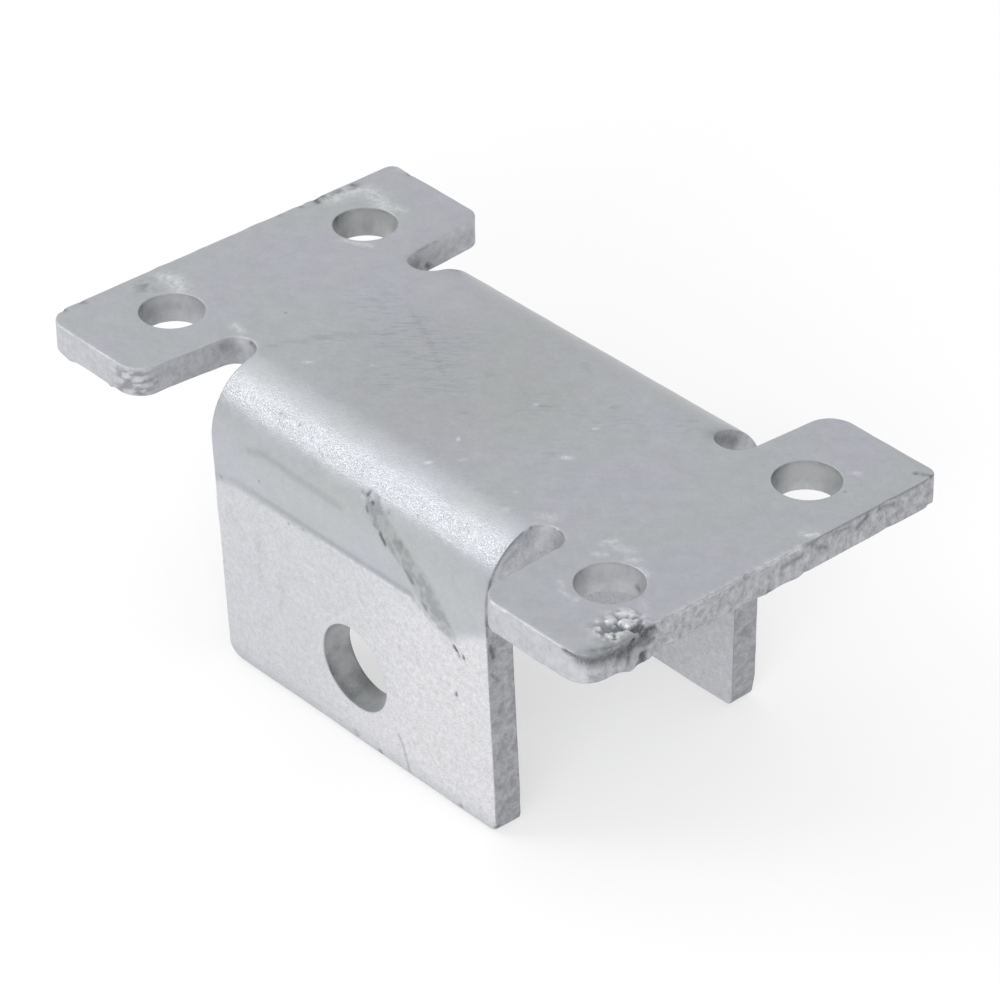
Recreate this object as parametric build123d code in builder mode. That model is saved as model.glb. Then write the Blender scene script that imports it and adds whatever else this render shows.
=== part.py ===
from build123d import *
from collections import Counter
from math import cos, radians, sin, tan
import os

# One-piece bracket, pressed from plate and hot-dip galvanised: an H-shaped
# blank with a bolted wing at each end and two flanges folded down in the
# middle, which hold a pin between them like a clevis.
#
# X runs along the bracket from wing to wing, Y across it from the front
# flange to the back one, Z up. The origin lies under the centre of the bolt
# pattern, on the surface that the flange edges stand on. Sizes are those of
# the finished piece in millimetres, with the zinc on.

# Plate
thickness = 6.2
overall_length = 150.0
wing_width = 85.6
height = 63.9                   # from the flange edges to the top face

# Folds: how far from the centre line each flange's outer face would meet the
# top face if the fold were sharp, and how far each is closed past square
front_flange_offset = 33.6
back_flange_offset = 35.2
front_bend_radius = 7.0         # inside the fold
back_bend_radius = 8.2          # inside the fold
front_overbend = 2.4            # degrees
back_overbend = 1.0             # degrees

# Flanges
flange_length = 77.0
flange_corner_radius = 2.5
pin_hole_diameter = 17.7
pin_hole_drop = 46.7            # from the top face down to the pin's axis

# Relief slots between the wings and the flanges
relief_width = 7.8
relief_past_bend = 0.3          # how far a slot runs on past the fold's start
wing_draft = 4.0                # degrees, a wing's inner edges off square

# Wings
inner_corner_radius = 5.0
front_corner_radius = 5.0
back_corner_radius = 2.5
bolt_hole_diameter = 12.7
bolt_spacing_x = 121.2
bolt_spacing_y = 47.4

# Rounding that the blanking die leaves round the outline of the outer skin
die_roll = 0.7

half_flange = flange_length / 2
half_width = wing_width / 2
relief_radius = relief_width / 2
slot_x = half_flange + relief_radius
draft = radians(wing_draft)


def fold_sizes(flange_offset, inner_radius, overbend):
    """Where the flat top starts to fold, out from the centre line, then the
    outer skin's radius and the fold's whole angle."""
    outer_radius = inner_radius + thickness
    angle = 90 + overbend
    start = flange_offset - outer_radius * tan(radians(angle) / 2)
    return start, outer_radius, angle


# Each fold with the side of the centre line that it lies on
folds = (
    (-1, *fold_sizes(front_flange_offset, front_bend_radius, front_overbend)),
    (1, *fold_sizes(back_flange_offset, back_bend_radius, back_overbend)),
)


with BuildPart() as bracket:
    # Flat plate of both wings and the web between them, up to the folds
    with BuildSketch(Plane.XY.offset(height)) as plate:
        Rectangle(overall_length, wing_width)
        for side, start, radius, angle in folds:
            with Locations((0, side * (start + half_width))):
                Rectangle(2 * slot_x, wing_width, mode=Mode.SUBTRACT)
    extrude(amount=-thickness)

    # Folds and flanges: the outer skin's line, an arc and a straight run that
    # the side view trims level, thickened inwards, so that both faces of a
    # fold are arcs about one centre
    with BuildSketch(Plane.YZ) as flange_section:
        for side, start, radius, angle in folds:
            with BuildLine() as outer_skin:
                fold = JernArc(
                    start=(side * start, height),
                    tangent=(side, 0),
                    radius=radius,
                    arc_size=-side * angle,
                )
                Line(fold @ 1, fold @ 1 + fold % 1 * height)
                inwards = Side.RIGHT if side > 0 else Side.LEFT
                offset(amount=thickness, side=inwards, closed=True)
            make_face()
    extrude(amount=slot_x, both=True)

    # Plan outline: round-ended slots with one drafted side part the wings
    # from the flanges, and cut the flanges to length
    with BuildSketch(Plane.XY) as plan:
        Rectangle(overall_length, wing_width)
        fillet(plan.vertices().group_by(Axis.Y)[0], radius=front_corner_radius)
        fillet(plan.vertices().group_by(Axis.Y)[-1], radius=back_corner_radius)
        for side_x in (-1, 1):
            for side_y, start, radius, angle in folds:
                slot_end = start - relief_past_bend
                slot_y = slot_end + relief_radius
                near_x = slot_x + relief_radius * cos(draft)
                near_y = slot_y - relief_radius * sin(draft)
                edge_x = near_x + (half_width - near_y) * tan(draft)
                with BuildLine() as slot:
                    Polyline(
                        (side_x * half_flange, side_y * slot_y),
                        (side_x * half_flange, side_y * half_width),
                        (side_x * edge_x, side_y * half_width),
                        (side_x * near_x, side_y * near_y),
                    )
                    ThreePointArc(
                        (side_x * near_x, side_y * near_y),
                        (side_x * slot_x, side_y * slot_end),
                        (side_x * half_flange, side_y * slot_y),
                    )
                make_face(mode=Mode.SUBTRACT)
        rows = plan.vertices().group_by(Axis.Y)
        front_row = rows[0].sort_by(Axis.X)
        back_row = rows[-1].sort_by(Axis.X)
        inner_corners = front_row[1:2] + front_row[-2:-1] + back_row[1:2] + back_row[-2:-1]
        fillet(inner_corners, radius=inner_corner_radius)
    extrude(amount=height, mode=Mode.INTERSECT)

    # Side view: the flanges' level edges and rounded lower corners, with the
    # plate above them
    with BuildSketch(Plane.XZ) as side_view:
        with Locations((0, height / 2)):
            Rectangle(flange_length, height)
        fillet(side_view.vertices().group_by(Axis.Y)[0], radius=flange_corner_radius)
        with Locations((0, height - thickness / 2)):
            Rectangle(overall_length, thickness)
    extrude(amount=wing_width, both=True, mode=Mode.INTERSECT)

    # Die roll. The outer skin is the top face, the outside of both folds and
    # the outside of both flanges. Its outline is every edge of these faces
    # that no two of them share.
    broad_faces = bracket.faces().sort_by(SortBy.AREA)[-6:]
    top = broad_faces.sort_by(Axis.Z)[-1:]
    outer_flanges = broad_faces.sort_by(Axis.Y)[:1] + broad_faces.sort_by(Axis.Y)[-1:]
    outer_folds = bracket.faces().filter_by(GeomType.CYLINDER).sort_by(SortBy.AREA)[-2:]
    outer_skin = top + outer_flanges + outer_folds
    uses = Counter(edge for face in outer_skin for edge in face.edges())
    fillet([edge for edge, count in uses.items() if count == 1], radius=die_roll)

    # Bolt holes through the wings and the pin hole through both flanges
    with Locations((0, 0, height)):
        with GridLocations(bolt_spacing_x, bolt_spacing_y, 2, 2):
            Hole(bolt_hole_diameter / 2, depth=thickness)
    with Locations(Location((0, 0, height - pin_hole_drop), (90, 0, 0))):
        Hole(pin_hole_diameter / 2)


bracket.part.label = "bracket"
os.makedirs("parts", exist_ok=True)
export_step(bracket.part, "parts/bracket.step")
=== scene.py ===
import bpy
import numpy as np
from mathutils import Matrix, Vector
from mathutils.geometry import delaunay_2d_cdt


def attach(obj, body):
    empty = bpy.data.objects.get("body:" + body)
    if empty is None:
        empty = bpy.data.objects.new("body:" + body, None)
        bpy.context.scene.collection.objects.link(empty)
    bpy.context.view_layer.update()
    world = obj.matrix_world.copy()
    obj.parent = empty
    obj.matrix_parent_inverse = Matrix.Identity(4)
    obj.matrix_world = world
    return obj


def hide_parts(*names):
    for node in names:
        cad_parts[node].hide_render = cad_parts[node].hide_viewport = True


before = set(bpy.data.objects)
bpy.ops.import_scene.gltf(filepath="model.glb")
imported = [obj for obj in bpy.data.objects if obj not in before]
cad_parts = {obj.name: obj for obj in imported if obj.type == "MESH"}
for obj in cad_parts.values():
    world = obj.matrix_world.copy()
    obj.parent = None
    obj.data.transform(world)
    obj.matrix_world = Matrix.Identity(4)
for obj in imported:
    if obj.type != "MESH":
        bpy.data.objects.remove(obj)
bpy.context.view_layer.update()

MM = 0.001


# ---------------------------------------------------------------- viewpoint
# The bracket stands on the edges of its two flanges and is looked at from
# above the right-hand wing's front corner, through a long lens.
eye = np.array((554.9, -480.5, 529.2)) * MM
look_down = np.radians(33.67)
look_left = np.radians(48.85)
camera_roll = np.radians(-0.67)

forward = np.array((
    -np.sin(look_left) * np.cos(look_down),
    np.cos(look_left) * np.cos(look_down),
    -np.sin(look_down),
))
level_right = np.array((np.cos(look_left), np.sin(look_left), 0.0))
level_up = np.cross(level_right, forward)
right = np.cos(camera_roll) * level_right + np.sin(camera_roll) * level_up
up = np.cos(camera_roll) * level_up - np.sin(camera_roll) * level_right

camera_data = bpy.data.cameras.new("camera")
camera_data.sensor_width = 36.0
camera_data.lens = 171.78
camera_data.clip_start = 0.05
camera = bpy.data.objects.new("camera", camera_data)
camera.matrix_world = Matrix([
    (right[0], up[0], -forward[0], eye[0]),
    (right[1], up[1], -forward[1], eye[1]),
    (right[2], up[2], -forward[2], eye[2]),
    (0.0, 0.0, 0.0, 1.0),
])
bpy.context.scene.collection.objects.link(camera)
bpy.context.scene.camera = camera


# ---------------------------------------------------------- the blank, flat
# The bracket starts as an H-shaped blank punched from 6 mm plate. It is
# worked out flat: u runs along it, s across it on the outer skin, and w is
# the depth below that skin. Millimetres until the mesh is made.
thickness = 6.2
height = 63.9
half_length = 75.0
half_wing = 42.8
half_flange = 38.5
relief_radius = 3.9
relief_past_bend = 0.3
wing_draft = np.radians(4.0)
slot_x = half_flange + relief_radius

# Front and back fold: the outer face's offset at the sharp corner, the
# outside radius, the overbend, the whole angle, where the fold starts and
# ends, the height that the flange starts from and where the flange ends
offset = np.array((33.6, 35.2))
bend_radius = np.array((13.2, 14.4))
overbend = np.radians((2.4, 1.0))
turn = np.pi / 2 + overbend
start = offset - bend_radius * np.tan(turn / 2)
fold_end = start + bend_radius * turn
flange_top = height - bend_radius + bend_radius * np.cos(turn)
flange_end = fold_end + flange_top / np.cos(overbend)


def fold(u, s, w):
    """Bends the flat blank. Past a fold's start the distance run on turns
    through an arc of the bend radius less w, up to the fold's angle, and
    goes on straight in the direction that the arc ends in. The wings, which
    lie beyond the slots, stay flat."""
    row = (s > 0).astype(int)
    side = np.where(s > 0, 1.0, -1.0)
    radius = bend_radius[row]
    run = np.clip(np.abs(s) - start[row], 0, None) * (np.abs(u) < slot_x)
    angle = np.minimum(run / radius, turn[row])
    beyond = run - angle * radius
    out = np.abs(s) - run + (radius - w) * np.sin(angle) + beyond * np.cos(angle)
    rise = height - radius + (radius - w) * np.cos(angle) - beyond * np.sin(angle)
    return np.stack((u, side * out, rise), axis=-1)


def rounded_path(corners, radii, step):
    """A closed path through corners, each rounded by an arc of its radius
    that touches both of its sides, as points about a step apart."""
    before = corners - np.roll(corners, 1, axis=0)
    before /= np.linalg.norm(before, axis=1)[:, None]
    after = np.roll(before, -1, axis=0)
    bend = np.arctan2(
        before[:, 0] * after[:, 1] - before[:, 1] * after[:, 0], (before * after).sum(axis=1)
    )
    reach = radii * np.tan(np.abs(bend) / 2)
    arcs = []
    for corner, into, angle, radius, length in zip(corners, before, bend, radii, reach):
        count = max(2, int(np.ceil(radius * abs(angle) / step)) + 1)
        swept = np.linspace(0, abs(angle), count)[:, None]
        left = np.array((-into[1], into[0])) * np.sign(angle)
        first = corner - into * length
        arcs.append(first + radius * (np.sin(swept) * into + (1 - np.cos(swept)) * left))
    path = []
    for arc, following in zip(arcs, arcs[1:] + arcs[:1]):
        gap = following[0] - arc[-1]
        count = max(1, int(round(np.linalg.norm(gap) / step)))
        path.append(arc)
        path.append(arc[-1] + np.linspace(0, 1, count + 1)[1:-1, None] * gap)
    return np.concatenate(path)


def circle_path(centre, radius, step):
    """A circle run clockwise, so that its left side is the plate."""
    count = int(round(2 * np.pi * radius / step))
    angle = -np.linspace(0, 2 * np.pi, count, endpoint=False)
    return np.asarray(centre) + radius * np.stack((np.cos(angle), np.sin(angle)), axis=-1)


def quadrant(side_u, side_s, outer_radius, inner_radius, flange_radius):
    """Corners and radii of a quarter of the blank, counterclockwise: the
    wing's outer corner, its inner corner, the slot's end and the flange's
    lower corner. The wing's inner edge leans off square and touches the
    slot's round end, which turns a little tighter on the flange's side."""
    row = int(side_s > 0)
    slot_end = start[row] - relief_past_bend
    touch_u = slot_x + relief_radius * np.cos(wing_draft)
    touch_s = slot_end + relief_radius * (1 - np.sin(wing_draft))
    lean = np.tan(wing_draft)
    tight_radius = 0.92 * relief_radius
    points = np.array((
        (half_length, half_wing),
        (touch_u + lean * (half_wing - touch_s), half_wing),
        (touch_u + lean * (slot_end - touch_s), slot_end),
        (half_flange, slot_end),
        (half_flange, flange_end[row]),
    )) * (side_u, side_s)
    radii = (outer_radius, inner_radius, relief_radius, tight_radius, flange_radius)
    backwards = -1 if side_u * side_s < 0 else 1
    return points[::backwards], radii[::backwards]


# The four corners wore and drained differently, so each has its own radii
quarters = (
    quadrant(1, 1, 2.6, 5.5, 1.6),
    quadrant(-1, 1, 2.0, 4.2, 2.5),
    quadrant(-1, -1, 5.0, 5.0, 3.2),
    quadrant(1, -1, 5.0, 5.0, 2.2),
)
edge_step = 0.45
outline = rounded_path(
    np.concatenate([points for points, radii in quarters]),
    np.concatenate([radii for points, radii in quarters]),
    edge_step,
)
bolt_u = 60.6
bolt_s = 23.7
bolt_radius = 6.25
bolt_holes = [(u, s, bolt_radius) for u in (-bolt_u, bolt_u) for s in (-bolt_s, bolt_s)]
pin_height = 17.2
pin_radius = 8.85
pin_s = fold_end + (flange_top - pin_height) / np.cos(overbend)
pin_holes = [(0.0, -pin_s[0], pin_radius), (0.0, pin_s[1], pin_radius)]


# ------------------------------------------------- uneven outline of the cut
# The punch and the knives left the outline a little wavy, with burrs where a
# cut ended and nicks where the plate tore. The zinc has rounded them over.
cells = 32
rng = np.random.default_rng(7)
lattice = rng.uniform(-1, 1, (cells, cells, cells))


def grain(points, size, shift=0):
    """Value noise between -1 and 1: random values on a cubic lattice of the
    given size, blended by smootherstep in all three directions. The lattice
    repeats after so many cells, and each shift starts elsewhere in it."""
    apart = 7.3
    scaled = points / size + shift * apart
    cell = np.floor(scaled).astype(int)
    part = scaled - cell
    part = part ** 3 * (part * (part * 6 - 15) + 10)
    value = 0
    for corner in np.ndindex(2, 2, 2):
        weight = np.prod(np.where(corner, part, 1 - part), axis=1)
        near = (cell + corner) % cells
        value = value + weight * lattice[near[:, 0], near[:, 1], near[:, 2]]
    return value


def ease(value, low, high):
    """0 below low, 1 above high and a smoothstep between them."""
    part = np.clip((value - low) / (high - low), 0, 1)
    return part * part * (3 - 2 * part)


def outward_of(path):
    """Unit normals of a closed path, pointing out of the plate."""
    along = np.roll(path, -1, axis=0) - np.roll(path, 1, axis=0)
    along /= np.linalg.norm(along, axis=1)[:, None]
    return np.stack((along[:, 1], -along[:, 0]), axis=-1)


# Burrs and nicks as place, height out of the edge and half-length
burrs = np.array((
    (-75.0, -5.8, 0.14, 1.3), (-75.0, 7.4, 0.16, 1.6), (-75.0, -15.5, 0.13, 1.6),
    (-72.6, 42.8, 0.16, 1.1), (-75.0, -39.2, -0.24, 0.7), (-75.0, -34.5, -0.18, 0.7),
    (-75.0, 19.1, -0.30, 0.8), (-75.0, 22.5, -0.35, 1.0), (75.0, 40.6, -0.45, 0.8),
    (75.0, 29.5, -0.20, 1.4), (75.0, 9.3, -0.25, 0.8), (75.0, -4.9, -0.30, 0.6),
    (75.0, -24.0, -0.35, 1.2), (75.0, -30.5, -0.30, 1.4), (38.5, -88.0, -0.15, 2.5),
))

# The cut stands back a little to leave room for the zinc, and strays by some
# hundredths of a millimetre over 9 mm and over 3 mm
cut_back = 0.09
level = np.column_stack((outline, np.zeros(len(outline))))
stray = -cut_back + 0.05 * grain(level, 9.0, 5) + 0.035 * grain(level, 2.8, 6)
gap = np.linalg.norm(outline[:, None] - burrs[None, :, :2], axis=2)
stray += (burrs[:, 2] * np.exp(-(gap / burrs[:, 3]) ** 2)).sum(axis=1)
outline = outline + outward_of(outline) * stray[:, None]

loops = [outline]
loops += [circle_path((u, s), radius, edge_step) for u, s, radius in bolt_holes + pin_holes]


# ------------------------------------------------------ sheared edge, skins
# Punching rounds the plate's upper edge, tears the wall below it and leaves
# a slight burr underneath, and the zinc softens all three. Each loop of the
# blank carries such an edge, and two skins fill what lies between.
def carried_edge(path, roll_width, roll_depth, burr):
    """Section of a sheared edge carried along a closed path: a quarter
    ellipse in from the outer skin, the straight wall and a quarter circle
    to the inner skin, each row standing off the path along its outward
    normal. Gives places and the directions they face, rows by points."""
    roll_rows = 5
    wall_rows = 12
    burr_rows = 3
    top = np.linspace(0, np.pi / 2, roll_rows)[:, None]
    down = np.linspace(0, 1, wall_rows + 2)[1:-1, None]
    low = np.linspace(0, np.pi / 2, burr_rows)[:, None]
    width = np.broadcast_to(roll_width, len(path))
    deep = np.broadcast_to(roll_depth, len(path))
    flat = np.zeros((len(down), len(path)))
    low_shape = (burr_rows, len(path))
    out = np.concatenate((
        -width * (1 - np.sin(top)),
        flat,
        np.broadcast_to(-burr * (1 - np.cos(low)), low_shape),
    ))
    depth = np.concatenate((
        deep * (1 - np.cos(top)),
        deep + down * (thickness - burr - deep),
        np.broadcast_to(thickness - burr * (1 - np.sin(low)), low_shape),
    ))
    angle = np.concatenate((top, flat[:, :1] + np.pi / 2, low + np.pi / 2))
    outward = outward_of(path)
    place = np.stack((
        path[:, 0] + outward[:, 0] * out, path[:, 1] + outward[:, 1] * out, depth,
    ), axis=-1)
    facing = np.stack((
        outward[:, 0] * np.sin(angle),
        outward[:, 1] * np.sin(angle),
        np.broadcast_to(-np.cos(angle), depth.shape),
    ), axis=-1)
    return place, facing


def inside(points, loop):
    """Whether points lie inside a closed loop, by counting the loop's sides
    that a line run from each point towards +u crosses."""
    batch = 4000
    following = np.roll(loop, -1, axis=0)
    count = np.zeros(len(points), int)
    for first in range(0, len(points), batch):
        u, s = points[first:first + batch].T[:, :, None]
        spans = (loop[:, 1] > s) != (following[:, 1] > s)
        rise = np.where(following[:, 1] == loop[:, 1], 1.0, following[:, 1] - loop[:, 1])
        cross = loop[:, 0] + (s - loop[:, 1]) / rise * (following[:, 0] - loop[:, 0])
        count[first:first + batch] = (spans & (u < cross)).sum(axis=1)
    return count % 2 == 1


def distance_to(points, path):
    """Distance from each point to a polyline: the least distance to the
    nearest place on any of its segments. A path may be one point."""
    path = np.atleast_2d(path)
    points = points[:, :path.shape[1]]
    least = np.linalg.norm(points - path[0], axis=1)
    for first, last in zip(path[:-1], path[1:]):
        along = last - first
        part = np.clip((points - first) @ along / (along @ along), 0, 1)
        least = np.minimum(least, np.linalg.norm(points - first - part[:, None] * along, axis=1))
    return least


def hexagonal(low, high, spacing):
    """A hexagonal grid of points over a rectangle."""
    rows = np.arange(low[1], high[1], spacing * np.sqrt(3) / 2)
    columns = np.arange(low[0], high[0], spacing)
    grid_u, grid_s = np.meshgrid(columns, rows)
    grid_u = grid_u + (np.arange(len(rows)) % 2)[:, None] * spacing / 2
    return np.stack((grid_u.ravel(), grid_s.ravel()), axis=-1)


def skin_fill(rims, spacing, fine_paths=(), fine_spacing=0.36):
    """Triangles over the region that the first rim bounds and the others
    pierce: points on a hexagonal grid, finer within reach of each fine path
    and clear of the rims, joined by a Delaunay triangulation. The rims and
    the two grids are kept apart by shares of the spacing. Gives the grid
    points and the triangles, which count the rims' points first."""
    off_rims = 0.6
    between_grids = 0.3
    batch = 2000
    least_gap = 1e-6
    ring = np.concatenate(rims)
    low, high = ring.min(axis=0), ring.max(axis=0)
    grids = []
    for pitch, fine in ((spacing, False), (fine_spacing, True)):
        points = hexagonal(low, high, pitch)
        near = np.zeros(len(points), bool)
        for path, reach in fine_paths:
            near |= distance_to(points, path) < reach + (0 if fine else between_grids * spacing)
        points = points[near if fine else ~near]
        grids.append(np.column_stack((points, np.full(len(points), off_rims * pitch))))
    points = np.concatenate(grids)
    points = points[inside(points[:, :2], rims[0])]
    for rim in rims[1:]:
        points = points[~inside(points[:, :2], rim)]
    clear = np.ones(len(points), bool)
    for first in range(0, len(points), batch):
        part = points[first:first + batch]
        square = ((part[:, None, :2] - ring[None]) ** 2).sum(axis=2).min(axis=1)
        clear[first:first + batch] = square > part[:, 2] ** 2
    points = points[clear, :2]
    sides = []
    base = 0
    for rim in rims:
        index = np.arange(len(rim))
        sides.append(np.stack((index, np.roll(index, -1)), axis=-1) + base)
        base += len(rim)
    everything = np.concatenate((ring, points))
    result = delaunay_2d_cdt(
        [Vector(place) for place in everything.tolist()],
        np.concatenate(sides).tolist(), [], 1, least_gap, True,
    )
    source = np.array([ids[0] for ids in result[3]])
    triangles = source[np.array(result[2])]
    middle = everything[triangles].mean(axis=1)
    keep = inside(middle, rims[0])
    for rim in rims[1:]:
        keep &= ~inside(middle, rim)
    return points, triangles[keep]


# Marks on the outer skin that the mesh is finer for, as places on the flat
# blank. The press die left a line along the front flange, here smoothed over
# three millimetres, and a fainter one where the fold ends, and a run of thick
# zinc crosses them.
die_mark = np.array((
    (-38.6, -49.4), (-36.4, -48.9), (-33.5, -48.2), (-30.0, -47.9), (18.6, -47.7),
    (21.4, -49.9), (24.6, -51.3), (28.2, -51.6), (30.8, -50.4), (38.6, -46.0),
))
mark_u = np.arange(-40.0, 40.1, 0.25)
window = np.hanning(11)
window /= window.sum()
mark_s = np.interp(mark_u, die_mark[:, 0], die_mark[:, 1])
mark_s = np.convolve(np.pad(mark_s, len(window) // 2, "edge"), window, "valid")
second_line = np.array((
    (-27.5, -38.9), (-23.3, -37.7), (-19.5, -37.8),
    (-15.2, -38.1), (-6.6, -38.2), (-1.0, -38.4),
))
run_line = np.array((
    (5.6, -33.2), (8.0, -35.2), (11.6, -37.6), (15.8, -40.2), (19.6, -43.0),
    (23.0, -46.0), (26.2, -48.6), (29.0, -51.2),
))
run_half = np.array((1.8, 2.2, 2.0, 2.3, 3.0, 3.3, 2.6, 1.2))
pit_places = np.array((
    (17.3, -31.7), (10.8, -34.0), (-16.5, -49.7), (-12.4, -49.0), (-36.3, -49.1),
    (-23.0, -29.1), (-17.6, -29.1), (-45.5, -8.5), (67.8, 26.0), (-24.6, -44.3),
))
lump_centre = np.array((70.6, -31.0))

# Pale flecks, each as the places it runs through, its reach and its height
flecks = (
    (9.3, -13.5, 8.8, -13.0, 0.35, 0.5), (26.2, -3.4, 27.2, -2.3, 0.42, 0.9),
    (22.8, 7.1, 23.2, 7.5, 0.35, 0.55), (10.8, -22.2, 11.2, -21.8, 0.4, 0.5),
    (-29.6, -17.0, -28.8, -16.2, 0.42, 0.5), (-20.5, -8.6, -20.2, -8.3, 0.35, 0.3),
    (28.8, -17.2, 29.1, -16.9, 0.35, 0.35), (31.3, -22.1, 31.7, -21.7, 0.45, 0.35),
    (9.8, 4.6, 10.0, 4.8, 0.35, 0.5), (14.2, -17.6, 14.8, -17.0, 0.4, 0.3),
)
fleck_paths = [np.reshape(row[:-2], (-1, 2)) for row in flecks]

# A crack in the zinc that runs down to the front flange's level edge
flange_crack = (11.7, -83.0, 13.2, -86.0, 14.4, -90.6)

# Where the outer skin's mesh is finer, as paths with their reach: the die
# mark, the run, the dross, the hollows below the run's end, the crack, and
# every pit and fleck
fine_paths = [
    (np.column_stack((mark_u[::12], mark_s[::12])), 2.4),
    (run_line, 3.4),
    (lump_centre, 7.5),
    (np.array(((29.6, -52.6), (32.6, -57.6))), 1.6),
    (np.array(((29.6, -62.6), (29.0, -64.6))), 1.2),
    (np.reshape(flange_crack, (-1, 2)), 0.9),
]
speck_reach = 0.9
fine_paths += [(path, speck_reach) for path in [*pit_places, *fleck_paths]]

# The die roll's width, uneven round the outline, wider along the flanges'
# level edges and narrower round the holes, and its depth as a share of that
level = np.column_stack((outline, np.zeros(len(outline))))
outline_roll = 0.45 + 0.18 * grain(level, 7.0, 14)
hem_roll = 1.2
near_hem = ease(np.abs(outline[:, 1]), flange_end.min() - 3.5, flange_end.min())
outline_roll += near_hem * (hem_roll - outline_roll)
hole_roll = 0.4
roll_slope = 0.85
burr_radius = 0.25

places, facings, faces = [], [], []
outer_rims, inner_rims, outer_index, inner_index = [], [], [], []
total = 0
for number, path in enumerate(loops):
    roll = outline_roll if number == 0 else hole_roll
    place, facing = carried_edge(path, roll, roll_slope * roll, burr_radius)
    rows, columns = place.shape[:2]
    index = np.arange(rows * columns).reshape(rows, columns) + total
    following = np.roll(index, -1, axis=1)
    faces.append(np.stack(
        (index[1:], following[1:], following[:-1], index[:-1]), axis=-1
    ).reshape(-1, 4))
    places.append(place.reshape(-1, 3))
    facings.append(facing.reshape(-1, 3))
    outer_rims.append(place[0, :, :2])
    inner_rims.append(place[-1, :, :2])
    outer_index.append(index[0])
    inner_index.append(index[-1])
    total += rows * columns
bored = np.arange(total) >= len(places[0])

# The outer skin on a grid of 0.9 mm and the inner one on a coarser grid
triangles = []
for rims, index, depth, spacing, side, fine in (
    (outer_rims, outer_index, 0.0, 0.9, -1.0, fine_paths),
    (inner_rims, inner_index, thickness, 1.5, 1.0, ()),
):
    points, skin = skin_fill(rims, spacing, fine)
    lookup = np.concatenate(index + [np.arange(len(points)) + total])
    skin = lookup[skin]
    triangles.append(skin if side < 0 else skin[:, ::-1])
    places.append(np.column_stack((points, np.full(len(points), depth))))
    facings.append(np.tile((0.0, 0.0, side), (len(points), 1)))
    total += len(points)

place = np.concatenate(places)
facing = np.concatenate(facings)
quads = np.concatenate(faces)
triangles = np.concatenate(triangles)
bored = np.concatenate((bored, np.zeros(total - len(bored), bool)))


# ------------------------------------------------------- relief of the zinc
# The dip leaves the plate slightly wavy, with a run of thick zinc down the
# front flange, lumps and dross on one wing's corner, drips under the edges
# and the torn grain of the sheared walls showing through.
u, s, w = place.T
wall = facing[:, 0] ** 2 + facing[:, 1] ** 2
outer = ease(-facing[:, 2], 0.2, 1.0)
under = ease(facing[:, 2], 0.2, 1.0)
between_slots = np.abs(u) < slot_x
front = outer * ease(-s, 26.0, 30.0) * between_slots
on_flange = (np.abs(u) < 40.0) & (np.abs(s) > 42.0)
front_bolt_hole = (np.abs(u) > 50.0) & (s < 0.0)


def bump_at(centre, reach):
    """1 at a place on the blank, or along a path of places, falling off as a
    Gaussian of the reach."""
    return np.exp(-(distance_to(place, centre) / reach) ** 2)


def marked(rows, dimensions=2):
    """The greatest of several bumps. A row gives the places that a bump runs
    through, coordinate after coordinate, then its reach and its height."""
    height = np.zeros(len(place))
    for *path, reach, peak in rows:
        path = np.reshape(path, (-1, dimensions))
        height = np.maximum(height, peak * bump_at(path, reach))
    return height


def marked_wall(wall_u, rows):
    """Straight bumps on the wall at wall_u. A row gives a bump's first s and
    w, its last s and w, its reach and its height."""
    return marked([
        (wall_u, *row[:2], wall_u, *row[2:4], *row[4:]) for row in rows
    ], 3)


# The skin lies a little under the solid's faces, so that the waves and lumps
# of the zinc reach up to them
set_back = 0.11
relief = -set_back + 0.05 * grain(place, 13.0) + 0.03 * grain(place, 5.0, 1)
relief += 0.015 * grain(place, 2.2, 2)

# Torn grain of the walls that the knives left: roughest on the outer wall of
# the wing with the lumps and on the flanges' ends, smooth in the holes. The
# holes close in by half a millimetre towards the inner skin.
end_wall = wall * ease(np.abs(facing[:, 0]), 0.5, 0.95)
torn = end_wall * np.select((u > 60.0, u < -60.0), (1.0, 0.55), 0.35)
torn = np.where(on_flange, 0.9 * end_wall, torn)
torn = np.where(bored, 0.0, np.maximum(torn, 0.2 * wall))
ragged = 0.55 * grain(place, 2.6, 3) + 0.45 * grain(place, 1.2, 4)
relief += wall * (0.05 + 0.07 * torn * ragged)
relief += wall * bored * 0.50 * ease(w, 0.5, 4.5)

# The edge under each flange hangs a little fuller towards its inner side
hem = wall * ease(np.abs(s), flange_end.min() - 1.5, flange_end.min() - 0.5)
relief += hem * (0.18 * w / thickness - 0.02)

# Drips and thick zinc below the edges, as place, drop and reach
below = under + wall * ease(w, 4.0, 6.2)
drips = (
    (-68.0, -42.6, 0.45, 1.6), (-55.4, -42.6, 0.35, 0.6), (74.6, -31.7, 1.0, 2.2),
    (74.8, -28.6, 0.5, 1.6), (74.6, 7.4, 0.25, 2.0), (74.6, 0.4, 0.30, 1.4),
    (-45.6, -39.0, 0.25, 2.5), (62.0, -42.4, 0.15, 3.0),
)
drop = 0.08 * below
for drip_u, drip_s, fall, reach in drips:
    drop += fall * below * bump_at((drip_u, drip_s), reach)

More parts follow.
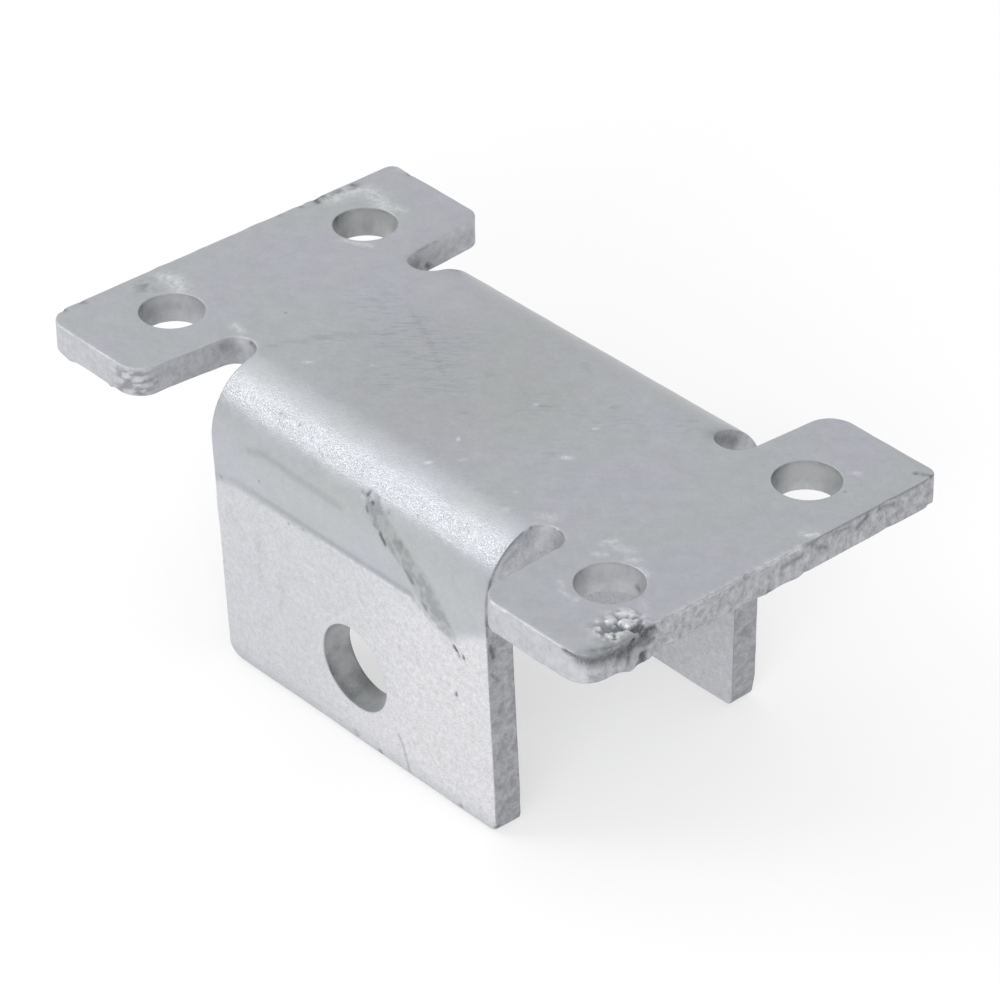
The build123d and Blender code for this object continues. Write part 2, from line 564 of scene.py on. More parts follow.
# Die mark: a soft groove where the press closed, a rounded lip below it and
# the skin above pressed in slightly as far as the fold. A second, shallower
# line runs where the fold ends, on the left.
past_mark = np.interp(u, mark_u, mark_s) - s
left_of_run = ease(19.5 - u, 0.0, 2.0)
mark_fade = left_of_run * (0.35 + 0.65 * ease(u, -36.0, -20.0))
groove = front * mark_fade * np.exp(-(past_mark / 0.7) ** 2)
lip = front * left_of_run * ease(u, -16.0, 0.0) * np.exp(-((past_mark - 1.15) / 0.45) ** 2)
pressed = front * left_of_run * ease(-past_mark, -0.4, 0.8)
pressed *= ease(-s, fold_end[0], fold_end[0] + 5)
relief += 0.08 * lip - 0.08 * groove - 0.04 * pressed
second = front * ease(-1.0 - u, -5.0, 3.0) * bump_at(second_line, 0.75)
relief -= 0.06 * second

# Zinc run: a low, lumpy ridge, with small hollows along its left side and
# below its end
across = distance_to(place, run_line) / np.interp(u, run_line[:, 0], run_half)
run = front * ease(-across, -1.25, -0.55)
lumpy = 0.5 * grain(place, 1.7, 8) + 0.5 * grain(place, 0.9, 9)
relief += run * (0.10 + 0.20 * lumpy)
hollowed = front * marked((
    (3.2, -33.5, 4.6, -34.0, 0.42, 0.6), (4.5, -33.8, 5.0, -32.4, 0.42, 0.7),
    (6.5, -34.0, 6.7, -34.1, 0.36, 0.9), (5.3, -35.3, 5.9, -36.0, 0.34, 0.8),
    (6.3, -36.4, 7.6, -37.3, 9.0, -38.2, 0.34, 0.5), (10.2, -38.7, 11.4, -40.0, 0.5, 1.1),
    (11.6, -39.0, 12.2, -37.6, 12.8, -36.4, 0.6, 0.5), (12.9, -36.6, 15.9, -37.9, 0.7, 0.24),
    (17.6, -38.5, 19.3, -39.6, 0.6, 0.34), (15.4, -42.2, 15.8, -42.6, 0.45, 0.3),
    (16.9, -43.4, 18.6, -44.5, 20.2, -45.8, 0.8, 0.42), (20.5, -47.6, 22.4, -49.0, 0.6, 0.42),
    (27.2, -43.1, 28.3, -43.9, 0.45, 0.42), (25.4, -49.7, 25.8, -50.0, 0.36, 0.9),
    (18.8, -48.6, 21.8, -50.3, 25.3, -51.5, 0.4, 0.3), (29.2, -53.5, 30.3, -54.8, 0.55, 1.5),
    (31.6, -54.5, 31.7, -54.6, 0.5, 1.0), (32.4, -56.6, 33.0, -57.2, 0.5, 0.35),
    (29.1, -63.8, 29.0, -64.5, 0.42, 1.3),
))
relief -= 0.16 * hollowed

# Small pits elsewhere
pitted = outer * marked([(*pit, 0.30, 1.0) for pit in pit_places])
relief -= 0.10 * pitted

# Dross on the front corner of one wing: the skin is eaten in, and knobs of
# zinc a millimetre or two across stand up in it and on the wall beside it
corner_zone = ease(bump_at(lump_centre, 5.2) + 0.25 * grain(place, 2.4, 12), 0.12, 0.80)
corner_zone *= ease(u, 65.5, 70.5)
knob = ease(grain(place, 1.5, 10) + 0.5 * grain(place, 0.7, 11), -0.25, 0.35)
eaten = outer * corner_zone
relief += eaten * (0.70 * knob - 0.55)
relief += 0.45 * wall * corner_zone * (knob - 0.6)

# Gashes, cracks and grime on the walls and along their edges: first on the
# outer wall of the wing with the dross, then on the flanges' right ends
gashed = marked_wall(half_length, (
    (24.5, 1.2, 22.0, 2.6, 0.55, 0.8), (31.0, 1.6, 27.5, 1.0, 0.5, 0.7),
    (12.0, 2.0, 14.5, 3.2, 0.5, 0.7), (4.0, 2.4, 8.5, 2.2, 0.5, 0.6),
    (16.0, 0.9, 20.0, 1.6, 0.4, 0.6), (33.0, 3.4, 30.0, 4.4, 0.4, 0.5),
    (10.0, 0.4, 40.0, 0.3, 0.32, 0.42), (9.4, 0.5, 11.4, 0.9, 0.5, 0.7),
    (-4.9, 0.2, -4.7, 0.6, 0.42, 1.1), (0.4, 5.8, 0.8, 6.2, 0.45, 0.8),
    (40.5, 3.8, 40.2, 4.2, 0.4, 0.8), (-28.6, 0.5, -26.8, 0.7, 0.6, 1.3),
    (-29.3, 4.8, -28.9, 5.4, 0.6, 1.2), (-30.4, 3.6, -26.6, 3.0, 0.45, 0.8),
    (-31.6, 1.2, -32.6, 5.0, 0.4, 0.7),
))
gashed = np.maximum(gashed, marked_wall(half_flange, (
    (-34.6, 0.3, -36.2, 0.5, 0.45, 1.0), (-43.2, 0.3, -44.2, 0.4, 0.4, 0.9),
    (-49.0, 1.0, -51.6, 1.6, 0.5, 0.8), (-55.0, 0.8, -57.4, 2.6, 0.35, 0.5),
    (-87.5, 1.0, -86.0, 2.2, 0.5, 0.4), (-90.6, 1.2, -91.0, 2.0, 0.45, 1.0),
    (-27.0, 2.6, -31.0, 1.6, 0.4, 0.4), (22.5, 0.5, 30.0, 0.5, 0.35, 0.5),
)))

# Then, with all three coordinates, on the corners of that wing, in the slots
# and on the other wing, and along the front flange's level edge
gashed = np.maximum(gashed, marked((
    (75.0, 41.2, 0.6, 73.6, 40.6, 0.0, 72.0, 39.2, 0.0, 0.36, 0.9),
    (69.8, -42.8, 0.4, 71.4, -42.6, 0.6, 73.0, -41.4, 0.9, 0.45, 1.2),
    (72.6, -41.9, 1.2, 74.2, -40.2, 1.6, 75.0, -37.0, 1.9, 75.0, -34.6, 1.7, 1.1, 1.0),
    (75.0, -34.0, 1.8, 75.0, -31.0, 2.2, 75.0, -28.4, 1.8, 1.7, 0.95),
    (60.9, -17.5, 3.6, 61.9, -17.6, 3.8, 0.4, 0.8),
    (38.5, -24.0, 0.3, 38.5, -34.0, 0.3, 38.5, -46.5, 0.3, 0.3, 0.7),
    (38.6, -22.2, 0.3, 39.6, -20.8, 0.3, 41.6, -19.7, 0.3, 0.3, 0.7),
    (43.0, -19.5, 0.2, 45.2, -20.8, 0.2, 46.3, -22.8, 0.2, 0.42, 0.9),
    (38.6, 21.8, 1.5, 38.5, 29.0, 2.5, 1.9, 0.75),
    (-48.2, -41.4, 5.6, -46.8, -40.6, 5.0, 0.5, 0.7),
    (-46.5, -38.5, 1.6, -46.3, -34.0, 2.6, 0.8, 0.3),
    (-46.4, -38.5, 0.35, -45.8, -25.0, 0.35, 0.34, 0.5),
    (-45.8, -22.6, 1.8, -44.6, -20.8, 3.2, 1.1, 0.45),
    (-42.4, -19.6, 0.8, -40.2, -20.4, 1.4, 0.6, 0.8),
    (-44.6, 21.6, 1.6, -46.3, 24.6, 3.4, 1.5, 0.55),
    (-46.3, 24.6, 0.7, -46.5, 39.0, 0.7, 0.6, 0.42),
    (-46.3, 27.3, 4.7, -46.3, 27.8, 5.2, 0.7, 1.3),
    (-46.4, 27.0, 3.2, -46.4, 40.0, 3.2, 3.0, 0.22),
    (-46.4, 29.9, 2.8, -46.4, 30.4, 3.0, 0.4, 0.8),
    (-69.4, 42.3, 0.2, -68.6, 42.7, 0.6, 0.5, 0.8),
    (-75.0, -39.6, 0.2, -74.4, -38.4, 0.1, 0.5, 0.9),
    (-1.1, -89.5, 0.2, -0.5, -89.8, 0.2, 0.4, 0.8),
    (5.8, -90.2, 0.2, 6.4, -90.5, 0.2, 0.45, 0.9),
    (28.2, -89.8, 0.2, 28.8, -90.1, 0.2, 0.4, 0.8),
    (38.0, -90.0, 0.4, 38.3, -89.8, 0.8, 0.5, 1.0),
), 3))
gashed = np.maximum(gashed, marked(((*flange_crack, 0.3, 0.5),)))
relief -= 0.20 * gashed

# Painted shade in the holes: darker towards one side and under their upper
# rim, and fainter in the front pair
leftward = facing[:, 0] * 0.66 + facing[:, 1] * 0.75
farther = facing[:, 0] * 0.75 - facing[:, 1] * 0.66
hole_shade = wall * bored * (
    0.42 * ease(leftward, 0.35, 0.95) + 0.34 * np.exp(-(w / 1.1) ** 2) * ease(farther, -0.3, 0.3)
)
hole_shade *= np.where(front_bolt_hole, 0.55, 1.0)
# The hole walls' paler colour, fainter in the front pair, is partly painted light that lifts the
# shade inside them
lit_hole_wall = wall * bored * np.where(front_bolt_hole, 0.45, 1.0)

# Frosty zinc below the die mark and inside the bracket. Its whiter colour is
# partly painted light: it grows towards the front flange's lower right and
# fades near its level edge, and on the inner skins it is painted fill light
# where they lie in shade
frost_and_light_share = 0.62 + 0.38 * ease(u - 0.4 * s, 14.0, 48.0)
frost_and_light_share *= np.where(u < 19.0, ease(past_mark, 0.6, 2.2), ease(past_mark, -1.6, 2.0))
frost_and_light = front * frost_and_light_share * (1.0 - 0.30 * ease(-s, flange_end[0] - 6.0, flange_end[0] - 1.0))
frost_and_light = np.maximum(frost_and_light, 0.65 * under)

# Marks that only change colour, from 0 to 1 on every vertex. Dirt and painted
# shade first: pits and dark lines, painted shade in the holes, the dull run of
# zinc, painted shade along the die mark's lines, dross, smears on the walls, a
# darker strip along the flange's level edge, painted shade on the flanges' end
# walls and nicks
dirt_and_shade = 0.6 * pitted + 0.9 * gashed + hole_shade * (1 + 0.5 * grain(place, 2.0, 15))
dirt_and_shade += hollowed * ease(lumpy + 0.6 * hollowed, 0.0, 0.7)
dull_run = 0.42 * run * (0.4 + 0.6 * ease(lumpy, -0.3, 0.15))
dirt_and_shade += dull_run * ease(u, 3.0, 6.0) * (1 - 0.6 * frost_and_light)
# Painted shade in the die mark's groove and along the second line
dirt_and_shade += 0.27 * groove + 0.24 * second
dirt_and_shade += eaten * (1 - knob) * (0.60 + 0.40 * ease(u, 69.5, 73.0))
dirt_and_shade += 0.75 * wall * corner_zone * (1 - knob) * ease(u, 72.0, 74.0)
streaked = grain(place * (0.55, 0.55, 1.6), 0.9, 20) + 0.3 * lumpy
smeared = 0.6 * wall * marked(((-51.0, -42.6, -46.8, -40.6, 3.0, 1.0),))
dirt_and_shade += smeared * ease(streaked, -0.25, 0.35) * ease(w, 0.5, 1.1)
# Darker along the front flange's level edge
dirt_and_shade += 0.16 * front * ease(-s, flange_end[0] - 3.4, flange_end[0] - 0.4)
dirt_and_shade += 0.12 * wall * bored * ease(lumpy, -0.1, 0.5)
# Painted shade on the flanges' end walls, mottled
end_wall_shade_mottle = (0.21 + 0.2 * lumpy) * wall * on_flange
dirt_and_shade += end_wall_shade_mottle * ease(np.abs(s), 42.0, 50.0) * (1 - bored) * ease(end_wall, 0.5, 1.0)
dirt_and_shade += marked((
    (-74.9, 22.8, 0.1, -73.2, 22.2, 0.0, 0.6, 1.2),
    (-74.8, 18.8, 0.1, -74.0, 18.7, 0.0, 0.45, 0.7),
    (-75.0, -34.8, 0.1, -74.0, -34.2, 0.1, 0.42, 0.8),
    (-74.8, 13.6, 0.1, -74.2, 13.4, 0.0, 0.4, 0.5),
), 3)
dirt_and_shade += 0.9 * outer * ease(lumpy, 0.0, 0.4) * marked((
    (-74.0, 24.0, -73.4, 28.0, -73.6, 33.0, 1.0, 1.0), (-72.0, -20.6, -70.0, -22.4, 2.0, 0.6),
))
dirt_and_shade += 0.75 * outer * (1 - 0.5 * knob) * marked((
    (75.0, -36.5, 73.4, -39.4, 1.1, 0.8), (75.0, -33.4, 75.0, -28.4, 1.3, 1.1),
))

# Pale zinc and painted highlights: a painted highlight on the die mark's lip,
# pale patches round the holes, pale flecks, painted glints on the tops of the
# dross and painted glints along the wings' rims
# Painted highlight along the die mark's lip
pale_and_glint = 0.75 * lip
pale_and_glint += outer * marked((
    (-71.2, -17.4, -68.6, -16.4, -65.6, -17.6, 1.8, 0.8), (-48.6, -18.3, -46.0, -18.7, 0.9, 0.6),
    (-72.0, 25.0, -72.2, 29.0, -70.6, 32.2, -67.0, 32.0, -62.8, 30.6, 1.7, 0.75),
    (-62.0, 31.6, -59.4, 32.4, 1.0, 0.6), (-58.6, 16.6, -55.8, 17.9, -53.4, 19.2, 0.6, 0.8),
    (-72.4, 42.2, -71.6, 42.4, 0.5, 0.9), (51.0, -16.4, 51.9, -14.2, 0.7, 0.7),
    (53.4, -15.4, 55.8, -14.7, 0.9, 0.65), (52.6, -19.6, 53.8, -18.4, 0.6, 0.7),
    (57.6, -16.8, 59.0, -15.4, 0.7, 0.6), (61.2, -17.0, 63.6, -17.6, 0.5, 0.6),
    (38.0, -18.4, 39.6, -17.6, 1.2, 0.45), (54.6, -30.0, 57.6, -31.6, 61.0, -31.8, 0.55, 0.5),
    (64.6, 31.2, 65.4, 31.8, 0.5, 0.7), (72.6, 11.2, 74.0, 12.6, 0.8, 1.0),
    (-31.8, 33.4, -31.2, 34.6, 1.2, 0.5), (68.8, -28.9, 70.6, -28.2, 0.5, 1.0),
    (73.5, -34.9, 73.7, -34.8, 0.5, 1.2),
))
pale_and_glint += 1.6 * outer * marked(flecks)
# Painted glints on the tops of the dross knobs
pale_and_glint += 1.5 * eaten * ease(knob, 0.55, 0.90)
# Painted glints along the wings' rims
pale_and_glint += 0.9 * marked((
    (74.85, -26.0, 0.1, 74.85, -4.0, 0.1, 0.42, 0.6),
    (-74.0, -42.8, 0.1, -54.0, -42.8, 0.1, 0.4, 0.7),
    (74.9, -2.5, 0.1, 74.9, 9.5, 0.1, 0.45, 1.0),
    (46.8, -42.9, 0.1, 55.0, -42.9, 0.1, 0.45, 1.0),
), 3)

# Bluish stains on the top, then scratches, ticks and faint drain lines
stain = outer * marked((
    (-26.3, 3.2, 6.5, 0.9), (-14.5, 0.5, 5.5, 0.9), (-5.0, -1.2, 4.0, 0.7),
    (-14.2, -9.4, 5.0, 0.6), (-17.2, 7.5, 5.0, 0.7), (-36.0, 6.0, 6.0, 0.6),
    (-8.9, -4.6, 3.2, 1.0), (-33.0, -8.0, 5.0, 0.5), (11.0, 5.0, 4.0, 0.45),
    (23.0, 11.0, 5.0, 0.5), (33.0, 20.0, 4.0, 0.4), (24.0, -4.0, 4.0, 0.4),
))
scratch = outer * marked((
    (-30.6, 9.6, -26.0, 7.6, -21.4, 5.4, -16.4, 3.1, -10.3, -0.5, 0.5, 0.6),
    (-38.0, -15.9, -32.0, -6.0, -27.7, 0.6, 0.8, 0.35), (5.4, 20.7, 9.3, 18.9, 0.45, 0.5),
    (-38.3, -18.1, -37.7, -17.7, 0.5, 0.9), (11.1, 4.8, 11.8, 5.6, 0.6, 0.6),
    (6.0, 5.7, 6.6, 6.3, 0.6, 0.5), (2.6, -7.0, 3.2, -6.4, 0.5, 0.6),
    (-3.6, 5.3, -3.0, 5.9, 0.45, 0.6), (-17.0, -15.5, -16.4, -14.9, 0.45, 0.6),
    (32.4, 21.2, 33.4, 22.2, 0.5, 0.5), (22.8, -5.0, 23.8, -4.2, 0.5, 0.4),
    (19.8, 14.2, 20.4, 14.8, 0.5, 0.5),
))
scratch += 0.45 * front * marked((
    (-26.5, -58.0, -26.8, -70.0, 0.8, 1.0), (-20.5, -64.0, -20.8, -71.0, 0.8, 0.8),
    (3.0, -54.5, 3.8, -57.5, 0.5, 1.0), (-34.0, -56.0, -31.0, -60.0, 1.2, 0.6),
))

# Painted shade in bands along the front fold, which shape its highlight, and
# a darker patch in the middle of the top
painted_shade_and_grey = front * np.interp(
    s, (-52.0, -49.0, -46.0, -42.0, -39.0, -36.0, -34.0, -32.5, -31.0, -29.5, -28.3, -27.0, -25.5),
    (0.0, 0.05, 0.05, 0.05, 0.40, 0.50, 0.15, 0.05, 0.0, 0.0, 0.3, 0.2, 0.0),
)
painted_shade_and_grey *= 1 - 0.6 * ease(-s, 38.5, 41.0) * ease(u, -27.0, -17.0) * ease(15.0 - u, 0.0, 8.0)
painted_shade_and_grey *= 1 - 0.9 * frost_and_light
painted_shade_and_grey += 0.6 * outer * ease(bump_at((-6.0, 1.0), 26.0), 0.1, 0.8)

# Coarse bright crystals in a band along the crest of the front fold; their
# pale colour there is also a painted highlight
crest_and_highlight = outer * between_slots * np.interp(
    s, (-33.5, -31.5, -30.4, -29.2, -28.0, -26.0, -23.0), (0.0, 0.4, 1.0, 1.0, 0.45, 0.20, 0.0),
)
crest_and_highlight *= 1 - 0.3 * ease(-u, 20.0, 32.0)
crest_and_highlight *= 0.78 + 0.45 * grain(place, 6.0, 21) + 0.35 * grain(place * (0.5, 1.6, 1.0), 2.2, 22)

# What every vertex carries for the material
coats = {
    "wall": wall, "torn": torn, "dirt_and_shade": dirt_and_shade, "pale_and_glint": pale_and_glint, "stain": stain,
    "scratch": scratch, "frost_and_light": frost_and_light, "painted_shade_and_grey": painted_shade_and_grey, "crest_and_highlight": crest_and_highlight, "bored": lit_hole_wall,
}

# The relief is laid on along the faces' own directions, the drips hang down
# from it, and the fold then gives the blank its finished shape
blank = place + facing * relief[:, None]
blank[:, 2] += drop
folded = fold(blank[:, 0], blank[:, 1], blank[:, 2]) * MM

mesh = bpy.data.meshes.new("galvanised_bracket")
corner_count = np.concatenate((np.full(len(quads), 4), np.full(len(triangles), 3)))
mesh.vertices.add(len(folded))
mesh.vertices.foreach_set("co", folded.ravel())
mesh.loops.add(int(corner_count.sum()))
mesh.loops.foreach_set("vertex_index", np.concatenate((quads.ravel(), triangles.ravel())))
mesh.polygons.add(len(corner_count))
mesh.polygons.foreach_set("loop_start", np.concatenate(((0,), np.cumsum(corner_count)[:-1])))
mesh.polygons.foreach_set("loop_total", corner_count)
mesh.polygons.foreach_set("use_smooth", np.ones(len(corner_count), bool))
mesh.update(calc_edges=True)
mesh.validate()
for name, values in coats.items():
    layer = mesh.attributes.new(name, "FLOAT", "POINT")
    layer.data.foreach_set("value", np.clip(values, 0, 1).astype(np.float32))
layer = mesh.attributes.new("blank", "FLOAT_VECTOR", "POINT")
layer.data.foreach_set("vector", place.astype(np.float32).ravel())
bracket = bpy.data.objects.new("galvanised_bracket", mesh)
bpy.context.scene.collection.objects.link(bracket)

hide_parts("bracket")
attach(bracket, "root")


# ------------------------------------------------------------ zinc material
# Hot-dip galvanised steel: a satin grey metal with faint bluish clouds, a
# frosty sparkle from its fine crystals, and duller, mottled walls where the
# zinc lies on torn steel.
def linear(text):
    """Linear RGBA of an sRGB hex colour."""
    part = np.array([int(text[i:i + 2], 16) for i in (1, 3, 5)]) / 255
    light = np.where(part <= 0.04045, part / 12.92, ((part + 0.055) / 1.055) ** 2.4)
    return (*light.tolist(), 1.0)


def add(tree, kind, inputs, **settings):
    """Adds a node with its settings. Inputs pair a socket's name or number
    with a value or with the output that feeds it."""
    node = tree.nodes.new(kind)
    for name, value in settings.items():
        setattr(node, name, value)
    for name, value in inputs.items():
        if isinstance(value, bpy.types.NodeSocket):
            tree.links.new(value, node.inputs[name])
        else:
            node.inputs[name].default_value = value
    return node


zinc = bpy.data.materials.new("hot_dip_zinc")
zinc.use_nodes = True
tree = zinc.node_tree
tree.nodes.clear()
where = add(tree, "ShaderNodeAttribute", {}, attribute_name="blank").outputs["Vector"]
mask = {
    name: add(tree, "ShaderNodeAttribute", {}, attribute_name=name).outputs["Fac"]
    for name in coats
}

# Clouds some 25 mm wide, mottle of 4 mm, torn grain of 1.5 mm, speckle of
# 1.2 mm and crystals of a third of a millimetre; the real crystals are finer
# still, and are drawn as coarse as shows
noise = {
    name: add(tree, "ShaderNodeTexNoise", {
        "Vector": where, "Scale": 1 / size, "Detail": detail, "Roughness": fineness,
        "Distortion": distortion,
    }).outputs["Fac"]
    for name, size, detail, fineness, distortion in (
        ("cloud", 25.0, 2.0, 0.5, 0.5),
        ("mottle", 4.0, 4.0, 0.6, 0.0),
        ("torn_grain", 1.5, 7.0, 0.7, 0.2),
        ("speckle", 1.2, 3.0, 0.7, 0.0),
        ("frost", 0.34, 2.0, 0.6, 0.0),
    )
}

# The zinc drained off along one direction and left strokes 4 mm long and
# seven tenths of a millimetre wide
drained = add(tree, "ShaderNodeMapping", {
    "Vector": where, "Rotation": (0.0, 0.0, np.radians(47)), "Scale": (4.0, 0.7, 2.0),
}, vector_type="TEXTURE").outputs["Vector"]
stroke = add(tree, "ShaderNodeTexNoise", {
    "Vector": drained, "Scale": 1.0, "Detail": 4.0, "Roughness": 0.6, "Distortion": 0.3,
}).outputs["Fac"]

# Colour of the skin: clouds, whiter where it is frosty and with painted light,
# greyer with painted shade along the fold and darker in the middle of the top,
# and pale along the fold's crest with a painted highlight
hue = add(tree, "ShaderNodeMapRange", {
    "Value": noise["cloud"], "From Min": 0.38, "From Max": 0.62,
}).outputs[0]
skin = add(tree, "ShaderNodeMix", {
    0: hue, 6: linear("#AFB2B4"), 7: linear("#AFB1B8"),
}, data_type="RGBA").outputs[2]
for name, tint in (("frost_and_light", "#D0D0D3"), ("painted_shade_and_grey", "#A7A9AA"), ("crest_and_highlight", "#D0D3D8")):
    skin = add(tree, "ShaderNodeMix", {
        0: mask[name], 6: skin, 7: linear(tint),
    }, data_type="RGBA").outputs[2]

# Its tone: mottle and crystals a few per cent up and down, more in the
# frosty zinc and on the crest, and dark strokes that gather in the stained
# places and show as scratches
tone = add(tree, "ShaderNodeMapRange", {
    "Value": noise["mottle"], "From Min": 0.3, "From Max": 0.7, "To Min": 0.955, "To Max": 1.045,
}).outputs[0]
frosty = add(tree, "ShaderNodeMath", {
    0: mask["frost_and_light"], 1: mask["crest_and_highlight"],
}, operation="MAXIMUM").outputs[0]
for name, more, least in (("frost", 0.50, 0.18), ("speckle", 0.42, 0.18)):
    contrast = add(tree, "ShaderNodeMath", {
        0: frosty, 1: more, 2: least,
    }, operation="MULTIPLY_ADD").outputs[0]
    centred = add(tree, "ShaderNodeMath", {0: noise[name], 1: -0.5}, operation="ADD").outputs[0]
    tone = add(tree, "ShaderNodeMath", {
        0: centred, 1: contrast, 2: tone,
    }, operation="MULTIPLY_ADD").outputs[0]
dark_stroke = add(tree, "ShaderNodeMapRange", {
    "Value": stroke, "From Min": 0.50, "From Max": 0.68,
}).outputs[0]
gathered = add(tree, "ShaderNodeMath", {
    0: mask["stain"], 1: 0.19, 2: 0.03,
}, operation="MULTIPLY_ADD").outputs[0]
stroked = add(tree, "ShaderNodeMath", {
    0: dark_stroke, 1: gathered,
}, operation="MULTIPLY").outputs[0]
tone = add(tree, "ShaderNodeMath", {0: tone, 1: stroked}, operation="SUBTRACT").outputs[0]
ticked = add(tree, "ShaderNodeMapRange", {
    "Value": stroke, "From Min": 0.38, "From Max": 0.56, "To Min": 0.25, "To Max": 1.0,
}).outputs[0]
ticked = add(tree, "ShaderNodeMath", {
    0: mask["scratch"], 1: ticked,
}, operation="MULTIPLY").outputs[0]
tone = add(tree, "ShaderNodeMath", {
    0: ticked, 1: -0.26, 2: tone,
}, operation="MULTIPLY_ADD").outputs[0]
skin = add(tree, "ShaderNodeHueSaturation", {"Color": skin, "Value": tone}).outputs[0]
blued = add(tree, "ShaderNodeMath", {
    0: mask["stain"], 1: dark_stroke,
}, operation="MULTIPLY").outputs[0]
blued = add(tree, "ShaderNodeMath", {0: blued, 1: 0.5}, operation="MULTIPLY").outputs[0]
skin = add(tree, "ShaderNodeMix", {
    0: blued, 6: skin, 7: linear("#8F9CAC"),
}, data_type="RGBA").outputs[2]

# Colour of the walls: fine torn grain, darkest where the shear was rough,
# pale and smooth in the slots and the holes
torn_tone = add(tree, "ShaderNodeMapRange", {
    "Value": noise["torn_grain"], "From Min": 0.34, "From Max": 0.62,
}).outputs[0]
rough_wall = add(tree, "ShaderNodeMix", {
    0: torn_tone, 6: linear("#8F9094"), 7: linear("#B9B9BE"),
}, data_type="RGBA").outputs[2]
fair_wall = add(tree, "ShaderNodeMix", {
    0: torn_tone, 6: linear("#B4B5B9"), 7: linear("#C2C3C8"),
}, data_type="RGBA").outputs[2]
sheared = add(tree, "ShaderNodeMix", {
    0: mask["torn"], 6: fair_wall, 7: rough_wall,
}, data_type="RGBA").outputs[2]
# Paler in the holes, partly painted light that lifts the shade inside them
sheared = add(tree, "ShaderNodeMix", {
    0: mask["bored"], 6: sheared, 7: linear("#BBBDBE"),
}, data_type="RGBA").outputs[2]
colour = add(tree, "ShaderNodeMix", {
    0: mask["wall"], 6: skin, 7: sheared,
}, data_type="RGBA").outputs[2]

# Pale zinc and painted glints, broken up by the speckle, and dirt with painted
# shade over everything, broken up by the crystals
pale_and_glint_cover = add(tree, "ShaderNodeMapRange", {
    "Value": noise["speckle"], "From Min": 0.38, "From Max": 0.60, "To Min": 0.25,
}).outputs[0]
pale_and_glint_cover = add(tree, "ShaderNodeMath", {
    0: mask["pale_and_glint"], 1: pale_and_glint_cover,
}, operation="MULTIPLY").outputs[0]
broken = add(tree, "ShaderNodeMapRange", {
    "Value": noise["frost"], "From Min": 0.35, "From Max": 0.60, "To Min": 0.72,
}).outputs[0]
dirt_and_shade_cover = add(tree, "ShaderNodeMath", {
    0: mask["dirt_and_shade"], 1: broken,
}, operation="MULTIPLY", use_clamp=True).outputs[0]
for cover, tint in ((pale_and_glint_cover, "#DADCDE"), (dirt_and_shade_cover, "#4E5153")):
    colour = add(tree, "ShaderNodeMix", {
        0: cover, 6: colour, 7: linear(tint),
    }, data_type="RGBA").outputs[2]

# Frosty and torn zinc is rougher, the crest and the pale zinc and glints glossier
rough = add(tree, "ShaderNodeMapRange", {
    "Value": noise["mottle"], "From Min": 0.3, "From Max": 0.7, "To Min": 0.31, "To Max": 0.41,
}).outputs[0]
for part, change in (
    (mask["frost_and_light"], 0.16), (mask["wall"], 0.16), (mask["crest_and_highlight"], -0.12), (pale_and_glint_cover, -0.06),
):
    rough = add(tree, "ShaderNodeMath", {
        0: part, 1: change, 2: rough,
    }, operation="MULTIPLY_ADD").outputs[0]

# Relief too fine for the mesh, in millimetres: crystals, deepest on the
# crest, speckle, deepest in frosty zinc, strokes and the torn walls' grain
fine = 0.0
for name, part, more, least in (
    ("frost", mask["crest_and_highlight"], 0.24, 0.05), ("speckle", frosty, 0.12, 0.05),
):
    deep = add(tree, "ShaderNodeMath", {
        0: part, 1: more, 2: least,
    }, operation="MULTIPLY_ADD").outputs[0]
    fine = add(tree, "ShaderNodeMath", {
        0: noise[name], 1: deep, 2: fine,
    }, operation="MULTIPLY_ADD").outputs[0]
fine = add(tree, "ShaderNodeMath", {
    0: stroke, 1: 0.035, 2: fine,
}, operation="MULTIPLY_ADD").outputs[0]
tear = add(tree, "ShaderNodeMath", {
    0: mask["torn"], 1: 0.40, 2: 0.03,
}, operation="MULTIPLY_ADD").outputs[0]
tear = add(tree, "ShaderNodeMath", {0: tear, 1: mask["wall"]}, operation="MULTIPLY").outputs[0]
fine = add(tree, "ShaderNodeMath", {
    0: noise["torn_grain"], 1: tear, 2: fine,
}, operation="MULTIPLY_ADD").outputs[0]
surface = add(tree, "ShaderNodeBump", {
    "Strength": 1.0, "Distance": MM, "Height": fine,
}).outputs["Normal"]

# Dull oxide on the zinc makes it look less than wholly metallic
shader = add(tree, "ShaderNodeBsdfPrincipled", {
    "Base Color": colour, "Metallic": 0.7, "Roughness": rough, "Normal": surface,
})
add(tree, "ShaderNodeOutputMaterial", {"Surface": shader.outputs["BSDF"]})
mesh.materials.append(zinc)


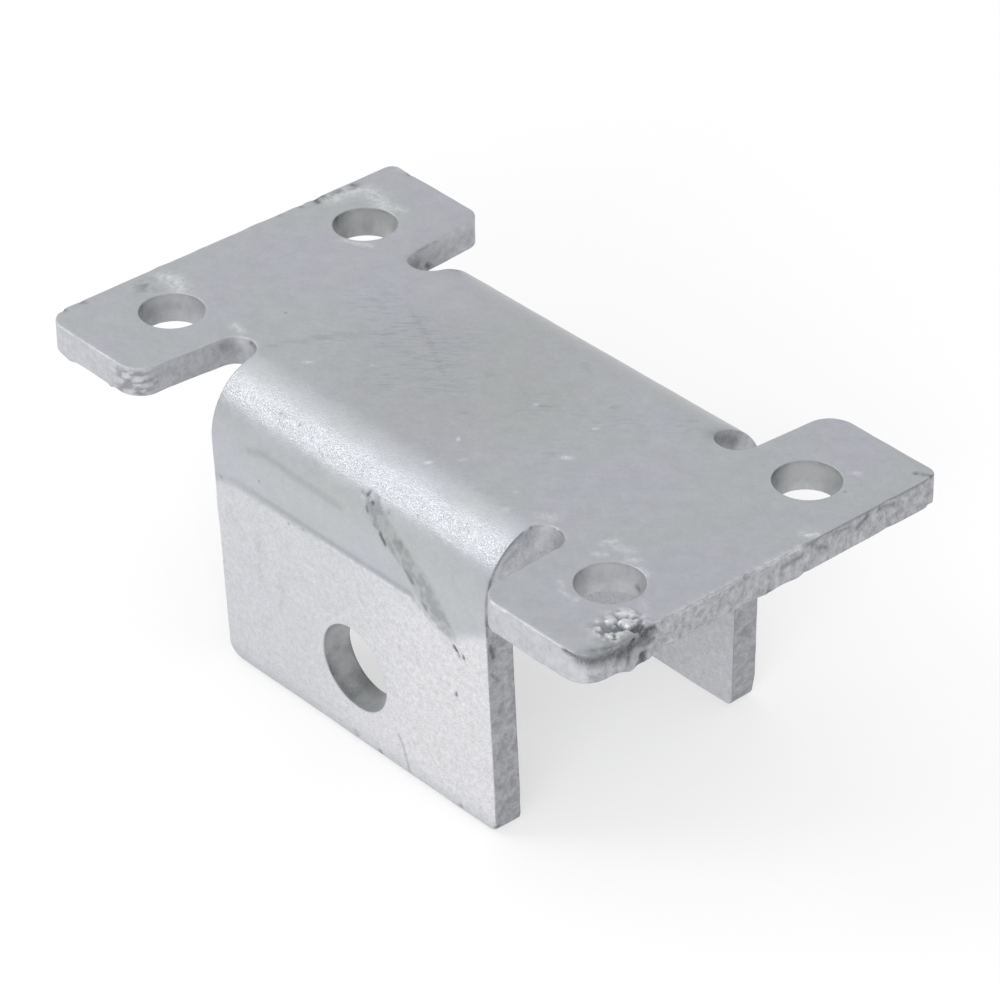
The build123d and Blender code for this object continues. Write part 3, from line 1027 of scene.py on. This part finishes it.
# ------------------------------------------------------------ floor, lights
# A pale studio floor, a large soft box high on the left, a broad low one in
# front and an even white room.
floor_half = 4
floor_gap = 0.2 * MM
floor_mesh = bpy.data.meshes.new("floor")
floor_mesh.from_pydata(
    [(-1, -1, 0), (1, -1, 0), (1, 1, 0), (-1, 1, 0)], [], [(0, 1, 2, 3)]
)
floor_mesh.transform(Matrix.Translation((0, 0, -floor_gap)) @ Matrix.Scale(floor_half, 4))
floor = bpy.data.objects.new("floor", floor_mesh)
bpy.context.scene.collection.objects.link(floor)
pale = bpy.data.materials.new("pale_floor")
pale.use_nodes = True
tree = pale.node_tree
tree.nodes.clear()

# Where the floor is seen, straight on or mirrored in the metal, half of its
# colour is plain white, so that it stays pale and keeps the shadow
ray = add(tree, "ShaderNodeLightPath", {})
matt = add(tree, "ShaderNodeBsdfDiffuse", {"Color": linear("#F4F4F4")})
glow = add(tree, "ShaderNodeEmission", {"Color": linear("#FFFFFF"), "Strength": 1.0})
seen = add(tree, "ShaderNodeMath", {
    0: ray.outputs["Is Camera Ray"], 1: ray.outputs["Is Transmission Ray"],
}, operation="ADD").outputs[0]
seen = add(tree, "ShaderNodeMath", {
    0: seen, 1: ray.outputs["Is Glossy Ray"],
}, operation="ADD", use_clamp=True).outputs[0]
half_seen = add(tree, "ShaderNodeMath", {0: seen, 1: 0.5}, operation="MULTIPLY").outputs[0]
blend = add(tree, "ShaderNodeMixShader", {
    0: half_seen, 1: matt.outputs[0], 2: glow.outputs[0],
})
add(tree, "ShaderNodeOutputMaterial", {"Surface": blend.outputs[0]})
floor_mesh.materials.append(pale)

room = bpy.data.worlds.new("studio")
room.use_nodes = True
white = room.node_tree.nodes["Background"]
white.inputs["Color"].default_value = (1, 1, 1, 1)
white.inputs["Strength"].default_value = 0.85
bpy.context.scene.world = room

# The low front light is kept out of mirror reflections, because the level
# top would burn out where it is seen from behind
target = Vector((0, 0, 30 * MM))
for name, stand, size, power in (
    ("soft_box", (-0.70, -0.75, 0.85), 0.45, 3.2),
    ("overhead", (-0.80, -0.05, 1.05), 0.9, 1.3),
    ("front_fill", (0.95, -1.20, 0.35), 1.2, 25.0),
):
    data = bpy.data.lights.new(name, "AREA")
    data.shape = "SQUARE"
    data.size = size
    data.energy = power
    lamp = bpy.data.objects.new(name, data)
    turned = (target - Vector(stand)).to_track_quat("-Z", "Y").to_matrix().to_4x4()
    lamp.matrix_world = Matrix.Translation(stand) @ turned
    lamp.visible_glossy = name != "front_fill"
    bpy.context.scene.collection.objects.link(lamp)

bpy.context.scene.view_settings.view_transform = "Standard"
